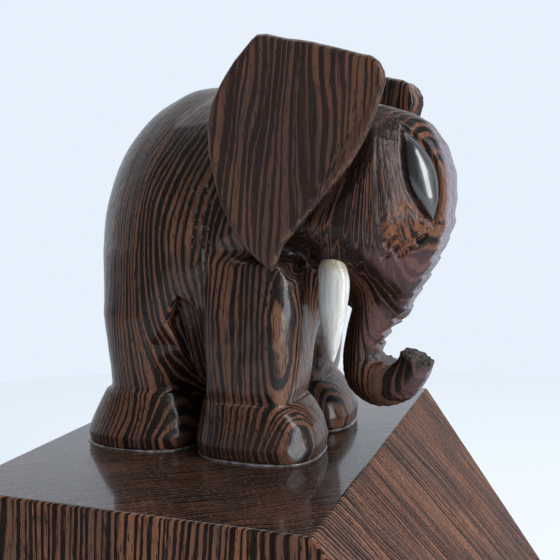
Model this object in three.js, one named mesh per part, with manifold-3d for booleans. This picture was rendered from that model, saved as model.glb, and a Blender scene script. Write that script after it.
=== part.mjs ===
// A carved wooden elephant on a wedge-fronted wooden plinth.
//
// Millimetres, +Z up. The elephant looks along -Y and its left side is +X.
// The origin is at the bottom centre of the whole object, under the felt.
// The figure is carved from one block of wood. Two hidden dowels and four thin
// beds of glue under the feet hold it on the plinth, and each tusk is plugged
// into a socket bored in the cheek.

import * as THREE from 'three';
import { ConvexGeometry } from 'three/addons/geometries/ConvexGeometry.js';
import * as BufferGeometryUtils from 'three/addons/utils/BufferGeometryUtils.js';
import Module from 'manifold-3d';

const wasm = await Module();
wasm.setup();

// ---- Driving dimensions ----

const PLINTH_WIDTH = 80;
const PLINTH_HEIGHT = 36;
const PLINTH_TOP_DEPTH = 50;
const SLOPE_ANGLE = THREE.MathUtils.degToRad(55);
const SLOPE_RUN = PLINTH_HEIGHT / Math.tan(SLOPE_ANGLE);

const FELT_THICKNESS = 1.25;
const FELT_INSET = 3;

const GLUE_THICKNESS = 0.25;
const GLUE_MARGIN = 0.3;

const DOWEL_RADIUS = 2.5;
const DOWEL_LENGTH = 24;
const SOCKET_CLEARANCE = 0.3;

// The middle of the plinth's top, which the figure's own coordinates start from.
const PLINTH_TOP = FELT_THICKNESS + PLINTH_HEIGHT;
const FIGURE_Y = SLOPE_RUN / 2;

// Trunk: the y and height of each section's centre, its half width, its half
// thickness and the direction it heads in, in degrees below straight ahead, so
// 90 is straight down and -60 is up and forward.
const TRUNK_SECTIONS = [
  { y: -26.8, z: 31.0, halfWidth: 7.8, halfDepth: 6.0, heading: 106 },
  { y: -25.3, z: 25.6, halfWidth: 6.6, halfDepth: 4.7, heading: 109 },
  { y: -23.6, z: 20.8, halfWidth: 5.4, halfDepth: 3.6, heading: 111 },
  { y: -22.0, z: 17.0, halfWidth: 4.8, halfDepth: 2.9, heading: 104 },
  { y: -21.3, z: 13.6, halfWidth: 4.5, halfDepth: 2.8, heading: 88 },
  { y: -22.2, z: 10.9, halfWidth: 4.4, halfDepth: 3.5, heading: 50 },
  { y: -24.7, z: 9.5, halfWidth: 4.2, halfDepth: 3.6, heading: 10 },
  { y: -27.3, z: 10.0, halfWidth: 4.0, halfDepth: 3.1, heading: -27 },
  { y: -29.1, z: 11.8, halfWidth: 3.8, halfDepth: 2.7, heading: -52 },
  { y: -30.0, z: 13.9, halfWidth: 3.6, halfDepth: 2.45, heading: -61 },
];
// How far each length of the trunk reaches back into the one before it.
const TRUNK_BITE = 0.35;

// Feet and legs, right side; the left side is the mirror image.
const FRONT_FOOT = { x: -9.6, y: -8.2, halfWidth: 8.6, halfLength: 9.4, height: 8 };
const REAR_FOOT = { x: -9.2, y: 11.4, halfWidth: 8.1, halfLength: 9.4, height: 8 };
const FRONT_LEG = { x: -9.0, y: -7.1, halfWidth: 8.0, halfLength: 7.2, height: 32 };
const REAR_LEG = { x: -8.8, y: 10.5, halfWidth: 7.4, halfLength: 7.4, height: 30 };

// Right ear: its thickness, where its flat outer face starts at the front, and
// how far the plate swings out towards its rear edge.
const EAR_THICKNESS = 5.2;
const EAR_BEVEL = 0.8;
const EAR_FRONT_X = -16.3;
const EAR_HINGE_Y = -26;
const EAR_SWING = THREE.MathUtils.degToRad(6);

// Tusk: an axis point at the cheek, then down to the tip.
const TUSK_ROOT = new THREE.Vector3(-11.6, -19.3, 30.6);
const TUSK_BELLY = new THREE.Vector3(-12.4, -20.5, 24.0);
const TUSK_TIP = new THREE.Vector3(-11.8, -19.5, 14.1);
const TUSK_HALF_WIDTH = 2.25;
const TUSK_HALF_THICKNESS = 1.7;
const TENON_RADIUS = 1.25;
const TENON_LENGTH = 5;

// ---- Geometry helpers ----

function toSolid(geometry) {
  const bare = geometry.clone();
  for (const name of Object.keys(bare.attributes)) {
    if (name !== 'position') bare.deleteAttribute(name);
  }
  const merged = BufferGeometryUtils.mergeVertices(bare, 1e-4);
  return new wasm.Manifold(new wasm.Mesh({
    numProp: 3,
    vertProperties: new Float32Array(merged.attributes.position.array),
    triVerts: new Uint32Array(merged.index.array),
  }));
}

// The tolerance closes up the hair-thin slivers that shared planes leave behind.
const TOLERANCE = 0.01;

function toGeometry(solid) {
  const mesh = solid.simplify(TOLERANCE).getMesh();
  const geometry = new THREE.BufferGeometry();
  geometry.setAttribute('position', new THREE.BufferAttribute(mesh.vertProperties, 3));
  geometry.setIndex(new THREE.BufferAttribute(mesh.triVerts, 1));
  geometry.computeVertexNormals();
  return geometry;
}

function union(solids) {
  return solids.reduce((sum, solid) => sum.add(solid));
}

// The outer skin of a join, without the pockets that its pieces close off.
function outerSkin(solid) {
  return solid.decompose().reduce((a, b) => (b.volume() > a.volume() ? b : a));
}

function ellipsoid(centre, radii, tilt = 0) {
  const geometry = new THREE.SphereGeometry(1, 22, 14);
  geometry.rotateX(Math.PI / 2);
  geometry.scale(...radii);
  geometry.rotateX(tilt);
  geometry.translate(...centre);
  return toSolid(geometry);
}

function hull(points) {
  return toSolid(new ConvexGeometry(points.map((p) => new THREE.Vector3(...p))));
}

// A vertical cylinder from z = bottom to z = top.
function post(x, y, bottom, top, radius, segments = 20) {
  const geometry = new THREE.CylinderGeometry(radius, radius, top - bottom, segments);
  geometry.rotateX(Math.PI / 2);
  geometry.translate(x, y, (top + bottom) / 2);
  return toSolid(geometry);
}

// A solid of revolution about +Z, stretched to an oval plan.
function oval(profile, { x, y, halfWidth, halfLength }) {
  const geometry = new THREE.LatheGeometry(profile.map(([r, z]) => new THREE.Vector2(r, z)), 26);
  geometry.rotateX(Math.PI / 2);
  geometry.scale(halfWidth, halfLength, 1);
  geometry.translate(x, y, 0);
  return toSolid(geometry);
}

function mirrored(solid) {
  return solid.mirror([1, 0, 0]);
}

function bothSides(solid) {
  return [solid, mirrored(solid)];
}

// ---- The carved figure, in its own coordinates: z = 0 is the plinth's top ----

function foot(spec) {
  const { height } = spec;
  return oval([
    [0, GLUE_THICKNESS],
    [0.97, GLUE_THICKNESS],
    [1, 1.5],
    [0.98, height * 0.45],
    [0.9, height * 0.8],
    [0.78, height],
    [0, height],
  ], spec);
}

function leg(spec) {
  return oval([
    [0, 3],
    [0.92, 3],
    [0.92, 12],
    [1, 18],
    [0.94, spec.height * 0.8],
    [0.62, spec.height],
    [0, spec.height],
  ], spec);
}

function bodySolids() {
  const barrel = ellipsoid([0, 2, 32.6], [17.4, 19.8, 23.4]);
  const rump = ellipsoid([0, 7.2, 26.5], [16.8, 14.6, 25]);
  const chest = ellipsoid([0, -5.6, 28], [15.4, 9.8, 19]);
  const belly = hull([
    [-11, -13, 4], [11, -13, 4], [-11, 15, 4], [11, 15, 4],
    [-12, -12, 26], [12, -12, 26], [-12, 15, 26], [12, 15, 26],
  ]);
  return [barrel, rump, chest, belly];
}

function headSolid() {
  const ridge = [
    [6.0, -27.2, 49.8], [6.0, -29.6, 47.1], [6.0, -31.6, 44.4], [6.0, -33.1, 40.9],
    [6.0, -33.4, 36.8], [5.6, -32.6, 31.1],
  ];
  const crown = [
    [0, -25.0, 51.8], [0, -30.9, 49.4], [0, -33.6, 45.6], [0, -35.0, 41.2],
    [0, -35.1, 37.8], [0, -34.2, 32.6], [0, -32.4, 29.0],
  ];
  const cheek = [
    [11.0, -28.6, 45.0], [13.6, -26.0, 48.6], [15.2, -21.0, 38.0], [13.8, -18.6, 30.4],
    [10.0, -20.0, 29.0], [12.0, -27.2, 37.0],
  ];
  const neck = [
    [13.0, -8, 54.0], [15.0, -8, 36], [9, -12, 24],
  ];
  const oneSide = [...ridge, ...cheek, ...neck];
  const otherSide = oneSide.map(([x, y, z]) => [-x, y, z]);
  return hull([...oneSide, ...otherSide, ...crown]);
}

// The chamfered corners of one squarish section of the trunk, moved back
// towards the head by a small step where the lengths must bite into each other.
function trunkRing({ y, z, halfWidth, halfDepth, heading }, back = 0) {
  const angle = THREE.MathUtils.degToRad(heading);
  const forward = [-Math.sin(angle), Math.cos(angle)];
  const along = [-Math.cos(angle), -Math.sin(angle)];
  const corners = [
    [1, 0.45], [0.55, 1], [-0.55, 1], [-1, 0.45],
    [-1, -0.45], [-0.55, -1], [0.55, -1], [1, -0.45],
  ];
  return corners.map(([side, depth]) => [
    side * halfWidth,
    y + depth * halfDepth * forward[0] - back * along[0],
    z + depth * halfDepth * forward[1] - back * along[1],
  ]);
}

function trunkSolids() {
  const pieces = [];
  for (let i = 1; i < TRUNK_SECTIONS.length; i += 1) {
    pieces.push(hull([
      ...trunkRing(TRUNK_SECTIONS[i - 1], TRUNK_BITE),
      ...trunkRing(TRUNK_SECTIONS[i]),
    ]));
  }
  return pieces;
}

// The right ear is a thick leaf whose flat face looks outwards. Its outline is
// drawn with the shape's x as the figure's -y.
function earSolid() {
  const shape = new THREE.Shape();
  shape.moveTo(25.7, 56.7);
  shape.lineTo(11.4, 60.0);
  shape.quadraticCurveTo(10.0, 60.2, 9.4, 59.4);
  shape.lineTo(5.1, 53.6);
  shape.quadraticCurveTo(2.4, 49.0, 3.3, 43.0);
  shape.quadraticCurveTo(4.4, 34.0, 10.6, 28.8);
  shape.quadraticCurveTo(12.8, 26.6, 13.4, 30.4);
  shape.quadraticCurveTo(17.6, 36.4, 23.0, 42.3);
  shape.quadraticCurveTo(25.6, 46.4, 27.4, 52.4);
  shape.quadraticCurveTo(27.8, 55.6, 25.7, 56.7);
  const geometry = new THREE.ExtrudeGeometry(shape, {
    depth: EAR_THICKNESS,
    bevelEnabled: true,
    bevelThickness: EAR_BEVEL,
    bevelSize: EAR_BEVEL,
    bevelOffset: -EAR_BEVEL,
    bevelSegments: 1,
    curveSegments: 8,
  });
  // The drawing's right becomes -y, its up stays up and its depth becomes x.
  geometry.rotateX(Math.PI / 2);
  geometry.rotateZ(-Math.PI / 2);
  geometry.translate(EAR_THICKNESS + EAR_BEVEL, -EAR_HINGE_Y, 0);
  geometry.rotateZ(EAR_SWING);
  geometry.translate(EAR_FRONT_X, EAR_HINGE_Y, 0);
  return toSolid(geometry);
}

function elephantSolid() {
  const carved = union([
    ...bodySolids(),
    headSolid(),
    ...trunkSolids(),
    ...bothSides(earSolid()),
    ...bothSides(foot(FRONT_FOOT)),
    ...bothSides(foot(REAR_FOOT)),
    ...bothSides(leg(FRONT_LEG)),
    ...bothSides(leg(REAR_LEG)),
  ]);
  return outerSkin(carved)
    .subtract(union(dowelPlaces().map(([x, y]) => dowelBore(x, y))))
    .subtract(union(bothSides(tuskSolid(SOCKET_CLEARANCE))));
}

// ---- Dowels and glue ----

function dowelPlaces() {
  return [[FRONT_FOOT.x, FRONT_FOOT.y], [-REAR_FOOT.x, REAR_FOOT.y]];
}

function dowelBore(x, y) {
  const reach = DOWEL_LENGTH / 2 + SOCKET_CLEARANCE;
  return post(x, y, -reach, reach, DOWEL_RADIUS + SOCKET_CLEARANCE);
}

function dowelSolid(x, y) {
  return post(x, y, -DOWEL_LENGTH / 2, DOWEL_LENGTH / 2, DOWEL_RADIUS);
}

function glueSolid(spec) {
  const grown = {
    x: spec.x,
    y: spec.y,
    halfWidth: spec.halfWidth + GLUE_MARGIN,
    halfLength: spec.halfLength + GLUE_MARGIN,
  };
  const film = oval([[0, 0], [1, 0], [1, GLUE_THICKNESS], [0, GLUE_THICKNESS]], grown);
  return dowelPlaces().reduce((rest, [x, y]) => rest.subtract(dowelBore(x, y)), film);
}

// ---- Tusks ----

function tuskSolid(clearance = 0) {
  const curve = new THREE.QuadraticBezierCurve3(TUSK_ROOT, TUSK_BELLY, TUSK_TIP);
  const stations = [0, 0.12, 0.3, 0.5, 0.7, 0.86, 1];
  const fullness = [0.62, 0.82, 0.98, 1, 0.82, 0.5, 0.14];
  const segments = 14;
  const rings = stations.map((t, i) => {
    const centre = curve.getPoint(t);
    const ring = [];
    for (let k = 0; k < segments; k += 1) {
      const a = (k / segments) * 2 * Math.PI;
      ring.push([
        centre.x + (TUSK_HALF_THICKNESS * fullness[i] + clearance) * Math.cos(a),
        centre.y + (TUSK_HALF_WIDTH * fullness[i] + clearance) * Math.sin(a),
        centre.z,
      ]);
    }
    return ring;
  });
  const blade = rings.slice(1).map((ring, i) => hull([...rings[i], ...ring]));
  const tenonTop = TUSK_ROOT.z + TENON_LENGTH + clearance;
  const tenon = post(TUSK_ROOT.x, TUSK_ROOT.y, TUSK_ROOT.z - 1, tenonTop, TENON_RADIUS + clearance, 14);
  return union([...blade, tenon]);
}

// ---- Plinth and felt ----

const PLINTH_BACK = FIGURE_Y + PLINTH_TOP_DEPTH / 2;
const PLINTH_TOP_FRONT = FIGURE_Y - PLINTH_TOP_DEPTH / 2;
const PLINTH_TOE = PLINTH_TOP_FRONT - SLOPE_RUN;

function plinthSolid() {
  // Drawn in (y, z), then extruded across the full width along x.
  const side = new THREE.Shape();
  side.moveTo(PLINTH_BACK, 0);
  side.lineTo(PLINTH_BACK, PLINTH_HEIGHT);
  side.lineTo(PLINTH_TOP_FRONT, PLINTH_HEIGHT);
  side.lineTo(PLINTH_TOE, 0);
  side.closePath();
  const geometry = new THREE.ExtrudeGeometry(side, { depth: PLINTH_WIDTH, bevelEnabled: false });
  geometry.rotateX(Math.PI / 2);
  geometry.rotateZ(Math.PI / 2);
  geometry.translate(-PLINTH_WIDTH / 2, 0, FELT_THICKNESS);
  const bores = dowelPlaces().map(([x, y]) => (
    dowelBore(x, y).translate([0, FIGURE_Y, PLINTH_TOP])
  ));
  return toSolid(geometry).subtract(union(bores));
}

function feltGeometry() {
  const front = PLINTH_TOE + FELT_INSET;
  const back = PLINTH_BACK - FELT_INSET;
  const geometry = new THREE.BoxGeometry(
    PLINTH_WIDTH - 2 * FELT_INSET,
    back - front,
    FELT_THICKNESS,
  );
  geometry.translate(0, (front + back) / 2, FELT_THICKNESS / 2);
  return geometry;
}

// ---- Materials and the assembly ----

const wood = new THREE.MeshStandardMaterial({ color: 0x3b2119, roughness: 0.32, metalness: 0 });
const beech = new THREE.MeshStandardMaterial({ color: 0xc9a26f, roughness: 0.6, metalness: 0 });
const bone = new THREE.MeshStandardMaterial({ color: 0xe6dcc0, roughness: 0.3, metalness: 0 });
const glue = new THREE.MeshStandardMaterial({ color: 0xb9b4a4, roughness: 0.45, metalness: 0 });
const felt = new THREE.MeshStandardMaterial({ color: 0x24452f, roughness: 1, metalness: 0 });

function named(name, geometry, material) {
  const mesh = new THREE.Mesh(geometry, material);
  mesh.name = name;
  return mesh;
}

const figure = new THREE.Group();
figure.position.set(0, FIGURE_Y, PLINTH_TOP);

figure.add(named('elephant', toGeometry(elephantSolid()), wood));
figure.add(named('tusk_right', toGeometry(tuskSolid()), bone));
figure.add(named('tusk_left', toGeometry(mirrored(tuskSolid())), bone));

const feet = {
  front_right: FRONT_FOOT,
  front_left: { ...FRONT_FOOT, x: -FRONT_FOOT.x },
  rear_right: REAR_FOOT,
  rear_left: { ...REAR_FOOT, x: -REAR_FOOT.x },
};
for (const [place, spec] of Object.entries(feet)) {
  figure.add(named(`glue_bed_${place}`, toGeometry(glueSolid(spec)), glue));
}

const dowelNames = ['dowel_front_right', 'dowel_rear_left'];
dowelPlaces().forEach(([x, y], i) => {
  figure.add(named(dowelNames[i], toGeometry(dowelSolid(x, y)), beech));
});

const carvedElephant = new THREE.Group();
carvedElephant.add(figure);
carvedElephant.add(named('plinth', toGeometry(plinthSolid()), wood));
carvedElephant.add(named('felt_base', feltGeometry(), felt));

export default carvedElephant;
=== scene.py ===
"""A carved wenge elephant on its wedge-fronted plinth.

The carving is sculpted as a distance field in millimetres, in the figure's own
frame: x = 0 is its middle plane, y = 0 the middle of the plinth's top and z = 0
that top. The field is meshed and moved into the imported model's frame, in
metres.
"""

import math

import bpy
import numpy as np
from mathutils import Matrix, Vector


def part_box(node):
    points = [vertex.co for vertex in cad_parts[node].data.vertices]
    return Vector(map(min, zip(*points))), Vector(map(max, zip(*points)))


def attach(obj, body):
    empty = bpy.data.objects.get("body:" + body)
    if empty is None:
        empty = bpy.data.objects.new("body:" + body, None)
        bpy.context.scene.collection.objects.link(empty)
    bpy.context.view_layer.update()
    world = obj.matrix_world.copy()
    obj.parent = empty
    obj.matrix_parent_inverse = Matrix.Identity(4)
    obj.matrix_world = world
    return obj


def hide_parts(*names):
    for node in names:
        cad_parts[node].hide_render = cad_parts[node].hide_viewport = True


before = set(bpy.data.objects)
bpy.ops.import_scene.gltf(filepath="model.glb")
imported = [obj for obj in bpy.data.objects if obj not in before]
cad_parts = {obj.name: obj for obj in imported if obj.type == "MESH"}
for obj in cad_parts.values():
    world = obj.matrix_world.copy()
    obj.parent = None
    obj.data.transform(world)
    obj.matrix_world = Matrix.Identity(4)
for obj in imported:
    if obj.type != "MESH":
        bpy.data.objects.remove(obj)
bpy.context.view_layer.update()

MM = 0.001
PLINTH_TOP_DEPTH = 50 * MM

plinth_low, plinth_high = (Vector(corner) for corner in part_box("plinth"))
felt_low, felt_high = (Vector(corner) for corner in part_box("felt_base"))
FIGURE = Vector((0, plinth_high.y - PLINTH_TOP_DEPTH / 2, plinth_high.z))

# Sole height above the plinth: the thickness of the glue beds.
SOLE = 0.25

VOXEL = 0.44


# ---- distance field

def offset(p, centre):
    return [p[i] - centre[i] for i in range(3)]


def dot(p, axis):
    return sum(p[i] * axis[i] for i in range(3))


def smooth_min(a, b, k):
    h = np.clip(0.5 + 0.5 * (b - a) / k, 0, 1)
    return b + (a - b) * h - k * h * (1 - h)


def smooth_max(a, b, k):
    return -smooth_min(-a, -b, k)


def ellipsoid(p, centre, radii):
    """Roughly the distance to an ellipsoid."""
    x, y, z = offset(p, centre)
    k0 = np.sqrt((x / radii[0]) ** 2 + (y / radii[1]) ** 2 + (z / radii[2]) ** 2)
    k1 = np.sqrt((x / radii[0] ** 2) ** 2 + (y / radii[1] ** 2) ** 2
                 + (z / radii[2] ** 2) ** 2)
    return k0 * (k0 - 1) / np.maximum(k1, 1e-6)


def capsule(p, a, b, ra, rb):
    """Distance to a round bar from a to b whose radius goes from ra to rb."""
    a, b = np.array(a, float), np.array(b, float)
    ab = b - a
    rel = offset(p, a)
    t = np.clip(dot(rel, ab) / ab.dot(ab), 0, 1)
    gap = sum((rel[i] - ab[i] * t) ** 2 for i in range(3))
    return np.sqrt(gap) - (ra + (rb - ra) * t)


def oval_column(p, levels, squareness=2.0, rim=1.2):
    """A column of oval sections; each level is z, x, y, half width, half length."""
    table = np.array(levels, float)
    z = np.clip(p[2], table[0, 0], table[-1, 0])
    cx, cy, rx, ry = (np.interp(z, table[:, 0], table[:, i]) for i in range(1, 5))
    u, v = np.abs(p[0] - cx) / rx, np.abs(p[1] - cy) / ry
    r = (u ** squareness + v ** squareness) ** (1 / squareness)
    side = (r - 1) * np.minimum(rx, ry)
    ends = np.maximum(table[0, 0] - p[2], p[2] - table[-1, 0])
    return smooth_max(side, ends, rim)


def noise(p, scale, seed):
    """Cheap smooth waves that are never quite regular."""
    rng = np.random.default_rng(seed)
    total = 0
    for _ in range(5):
        direction = rng.normal(size=3)
        direction /= np.linalg.norm(direction)
        phase = rng.uniform(0, 2 * math.pi)
        pitch = scale * rng.uniform(0.7, 1.5)
        along = dot(p, direction)
        total = total + np.sin(2 * math.pi * along / pitch + phase)
    return total / 5


# ---- the elephant

# Rounded masses: centre and radii.
BARREL = (0, 1.5, 32.4), (16.6, 19.0, 23.0)
RUMP = (0, 7.0, 26.0), (15.8, 13.6, 24.0)
CHEST = (0, -5.5, 28.0), (15.0, 9.0, 18.0)
TUSK_HOLLOW = (-13.6, -15.4, 29.2), (3.4, 2.5, 3.0)
TUSK_COLLAR = (-10.0, -19.0, 30.0), (2.7, 3.3, 1.9)
FOOT_SLOT = (0, -17.5, 3.0), (0.9, 5.0, 4.2)
TAIL_TUFT = (0, 19.0, 14.5), (1.7, 1.6, 3.4)
# The tail's upper end, middle and lower end, each with its radius.
TAIL = (((0, 20.2, 39), 1.2), ((0, 21.3, 29), 1.5), ((0, 19.3, 16), 1.0))


def torso(p):
    body = smooth_min(ellipsoid(p, *BARREL), ellipsoid(p, *RUMP), 4)
    return smooth_min(body, ellipsoid(p, *CHEST), 4)


# Levels of the legs and feet, right side: z, x, y, half width, half length.
FRONT_LEG = [
    (SOLE + 6.0, -8.9, -6.8, 7.1, 6.6),
    (10, -8.9, -7.1, 7.4, 7.1),
    (15, -8.9, -7.4, 7.6, 7.3),
    (21, -8.8, -7.6, 7.9, 7.5),
    (29, -7.6, -6.6, 8.6, 7.8),
]
REAR_LEG = [
    (SOLE + 6.0, -8.9, 10.6, 6.1, 6.0),
    (12, -8.9, 10.6, 6.6, 6.2),
    (20, -8.5, 10.4, 7.6, 7.5),
    (29, -6.6, 9.0, 8.6, 8.8),
]
FRONT_FOOT = [
    (SOLE, -9.6, -8.2, 8.4, 9.2),
    (2.2, -9.6, -8.2, 8.6, 9.4),
    (5.0, -9.2, -7.9, 8.1, 8.9),
    (7.0, -9.0, -7.4, 7.9, 8.1),
    (8.2, -8.9, -7.0, 7.7, 7.4),
]
REAR_FOOT = [
    (SOLE, -9.2, 11.2, 8.2, 9.2),
    (2.0, -9.2, 11.2, 8.3, 9.4),
    (4.8, -9.0, 11.0, 7.4, 8.4),
    (8.2, -8.9, 10.8, 6.5, 6.9),
]


# Knife cuts on the outer front corners: the way each faces and how far out it is.
LEG_FACET = ((-0.69, -0.72, -0.045), 19.50)
TOE_FACET = ((-0.683, -0.705, 0.19), 22.25)


def right_half(p):
    """The point set folded onto the elephant's right side, x <= 0."""
    return (-np.abs(p[0]), p[1], p[2])


def facet(q, cut):
    """Distance past a flat cut."""
    facing, reach = cut
    return dot(q, facing) - reach


def legs(p):
    q = right_half(p)
    front = smooth_max(oval_column(q, FRONT_LEG, 4.6), facet(q, LEG_FACET), 0.6)
    rear = oval_column(q, REAR_LEG, 2.3)
    return front, rear


def feet(p):
    q = right_half(p)
    front = smooth_max(oval_column(q, FRONT_FOOT, 3.0, 0.4), facet(q, TOE_FACET), 0.4)
    rear = oval_column(q, REAR_FOOT, 2.3, 0.4)
    return front, rear


# The forehead's outline in the middle plane, from the crown down to the trunk.
FOREHEAD = [
    (-22.0, 52.6), (-25.1, 51.9), (-28.2, 50.9), (-31.2, 49.0), (-33.4, 45.8), (-34.8, 41.8),
    (-35.1, 37.8), (-34.5, 34.2), (-33.2, 31.0), (-31.0, 26.6), (-29.0, 23.0),
]
RIDGE_X = 6.0
RIDGE_BACK = 1.0
CROWN_Z = 52.6
CHEEK_X = 15.0
HEAD_REAR_Y = -6


def head(p):
    x, y, z = right_half(p)
    outline = np.array(FOREHEAD)[::-1]
    front_y = np.interp(z, outline[:, 1], outline[:, 0])
    slope = np.gradient(outline[:, 0], outline[:, 1])
    lean = np.interp(z, outline[:, 1], slope)
    front = (front_y - y + 0.05 * np.abs(x)) / np.sqrt(1 + np.clip(lean, -3, 3) ** 2)
    crown = (z - CROWN_Z - 0.10 * (y + 22)) * 0.99
    across, back = 0.76, 0.65
    side = (-x - RIDGE_X) * across - (y - front_y - RIDGE_BACK) * back
    side = side / np.sqrt(1 + (back * np.clip(lean, -3, 3)) ** 2)
    cheek = -x - CHEEK_X
    jaw = (-x - 11.6) * 0.56 + (y + 19.3) * 0.2 + (29.2 - z) * 0.8
    rear = y - HEAD_REAR_Y
    shape = smooth_max(front, crown, 3.0)
    shape = smooth_max(shape, side, 0.7)
    shape = smooth_max(shape, cheek, 4.0)
    shape = smooth_max(shape, jaw, 3.0)
    return smooth_max(shape, rear, 3.0)


# Trunk centre line: y, z, half depth, half width, front half width and how far
# forward of the centre the side's edge is.
TRUNK = [
    (-27.4, 35.0, 6.8, 9.6, 5.4, 0.6),
    (-26.8, 30.5, 5.9, 7.9, 4.4, -1.0),
    (-25.3, 25.6, 4.7, 6.6, 3.5, -0.4),
    (-23.6, 20.8, 3.6, 5.4, 3.0, 0.2),
    (-22.0, 17.0, 2.9, 4.8, 2.8, 0.6),
    (-21.3, 13.6, 2.8, 4.5, 2.8, 0.8),
    (-22.2, 10.9, 3.5, 4.4, 3.2, 1.8),
    (-24.7, 9.5, 3.6, 4.2, 3.4, 2.4),
    (-27.3, 10.0, 3.1, 4.0, 3.3, 2.0),
    (-29.1, 11.8, 2.7, 3.8, 3.1, 1.7),
    (-30.0, 13.9, 2.45, 3.6, 2.9, 1.5),
]
INSIDE = 100.0
NOTCH_PITCH = 2.5
NOTCH_DEPTH = 0.75


def catmull(points, per_span):
    """Points on a smooth curve through the given ones, in every column."""
    pts = np.array(points, float)
    ends = np.vstack([2 * pts[0] - pts[1], pts, 2 * pts[-1] - pts[-2]])
    rows = []
    for i in range(1, len(ends) - 2):
        p0, p1, p2, p3 = ends[i - 1:i + 3]
        for t in np.linspace(0, 1, per_span, endpoint=False):
            rows.append(0.5 * (2 * p1 + (p2 - p0) * t + (2 * p0 - 5 * p1 + 4 * p2 - p3) * t ** 2
                               + (3 * p1 - p0 - 3 * p2 + p3) * t ** 3))
    return np.array(rows + [pts[-1]])


def trunk(p):
    x, y, z = p
    line = catmull(TRUNK, 4)
    best = np.full(x.shape, 1e9, np.float32)
    n = np.zeros(x.shape, np.float32)
    along = np.zeros(x.shape, np.float32)
    size = [np.zeros(x.shape, np.float32) for _ in range(4)]
    start = 0.0
    overrun = np.full(x.shape, -INSIDE, np.float32)
    for i in range(len(line) - 1):
        a, b = line[i], line[i + 1]
        d = b[:2] - a[:2]
        length = np.linalg.norm(d)
        d = d / length
        t = (y - a[0]) * d[0] + (z - a[1]) * d[1]
        tc = np.clip(t, 0, length)
        gap = np.hypot(y - a[0] - d[0] * tc, z - a[1] - d[1] * tc)
        near = gap < best
        best = np.where(near, gap, best)
        # Positive towards the forehead's side of the trunk.
        n = np.where(near, (y - a[0]) * d[1] - (z - a[1]) * d[0], n)
        along = np.where(near, start + tc, along)
        if i == 0:
            overrun = np.where(near, -t, overrun)
        elif i == len(line) - 2:
            overrun = np.where(near, t - length, overrun)
        else:
            overrun = np.where(near, -INSIDE, overrun)
        for k in range(4):
            size[k] = np.where(near, a[2 + k] + (b[2 + k] - a[2 + k]) * tc / length, size[k])
        start += length
    half_depth, half_width, front_width, edge = size
    # A row of shallow steps cut across the front.
    phase = (along / NOTCH_PITCH) % 1
    steps = np.interp(along, [0, 3, 20, 24], [0, 1, 1, 0])
    notch = NOTCH_DEPTH * steps * (phase ** 1.5) * (phase < 0.93)
    front = n - half_depth + notch
    side = np.abs(x) - half_width
    rear = -n - half_depth
    dn, dx = half_depth - edge, half_width - front_width
    chamfer = ((n - half_depth) * dx + (np.abs(x) - front_width) * dn) / np.hypot(dn, dx)
    under = (-n - half_depth + 1.2 + np.abs(x) - half_width + 1.2) / math.sqrt(2) - 0.3
    shape = smooth_max(front, chamfer, 0.5)
    shape = smooth_max(shape, side, 0.8)
    shape = smooth_max(shape, rear, 1.0)
    shape = smooth_max(shape, under, 0.8)
    return smooth_max(shape, overrun, 0.4)


# The ear's outline as (-y, z), anticlockwise seen from the elephant's right.
EAR = [
    (25.7, 56.7), (17.7, 58.8), (11.6, 60.0), (10.2, 60.0), (9.4, 59.4), (7.0, 56.6), (5.1, 53.6),
    (3.7, 50.8), (3.1, 47.8), (3.2, 44.5), (3.9, 40.8), (5.0, 36.8), (6.5, 33.6), (8.1, 31.3),
    (10.6, 28.8), (12.2, 27.5), (13.0, 28.8), (13.8, 31.3), (16.3, 34.4), (19.6, 38.4),
    (23.0, 42.3), (24.4, 44.6), (26.0, 48.3), (27.0, 51.2), (27.6, 53.2), (27.5, 54.5), (26.8, 55.8),
]
EAR_FRONT_X = 16.2
EAR_FRONT_Y = -27.5
EAR_FLARE = 0.106
EAR_THICKNESS = 4.4
EAR_UNDERCUT = 0.36


def polygon_distance(u, v, outline):
    pts = np.array(outline, float)
    best = np.full(u.shape, 1e9, np.float32)
    inside = np.zeros(u.shape, bool)
    for a, b in zip(pts, np.roll(pts, -1, axis=0)):
        e = b - a
        wu, wv = u - a[0], v - a[1]
        t = np.clip((wu * e[0] + wv * e[1]) / e.dot(e), 0, 1)
        best = np.minimum(best, (wu - e[0] * t) ** 2 + (wv - e[1] * t) ** 2)
        crosses = (a[1] > v) != (b[1] > v)
        with np.errstate(divide="ignore", invalid="ignore"):
            cut = u < e[0] * (v - a[1]) / (e[1] if e[1] else 1e-9) + a[0]
        inside ^= crosses & cut
    return np.where(inside, -1, 1) * np.sqrt(best)


def ear_outer(y):
    """How far out the ear's flat face is, at a given y."""
    return EAR_FRONT_X + (y - EAR_FRONT_Y) * EAR_FLARE


def ear(p):
    x, y, z = right_half(p)
    edge = polygon_distance(-y, z, EAR)
    # The lower front edge is undercut towards the head.
    below_front = (-y - 17) * 0.86 - (z - 44) * 0.5
    depth = np.clip(ear_outer(y) + x - 0.8, 0, 4)
    edge = edge + EAR_UNDERCUT * depth * np.clip(below_front / 3, 0, 1)
    face = (-x - ear_outer(y)) * 0.985
    inner = (ear_outer(y) - EAR_THICKNESS + x) * 0.985
    shape = smooth_max(edge, face, 0.9)
    return smooth_max(shape, inner, 0.9)


# The crease in front of the ear: its deepest line, from the crown to the tip.
CREASE = [(-10.4, -25.4, 51.5), (-12.4, -21.4, 42.3), (-15.6, -12.6, 30.0)]
CREASE_OPENS = np.array((-0.76, -0.65, 0.0))
CREASE_EAR_SIDE = math.radians(27)
CREASE_FACE_SIDE = math.radians(37)


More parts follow.
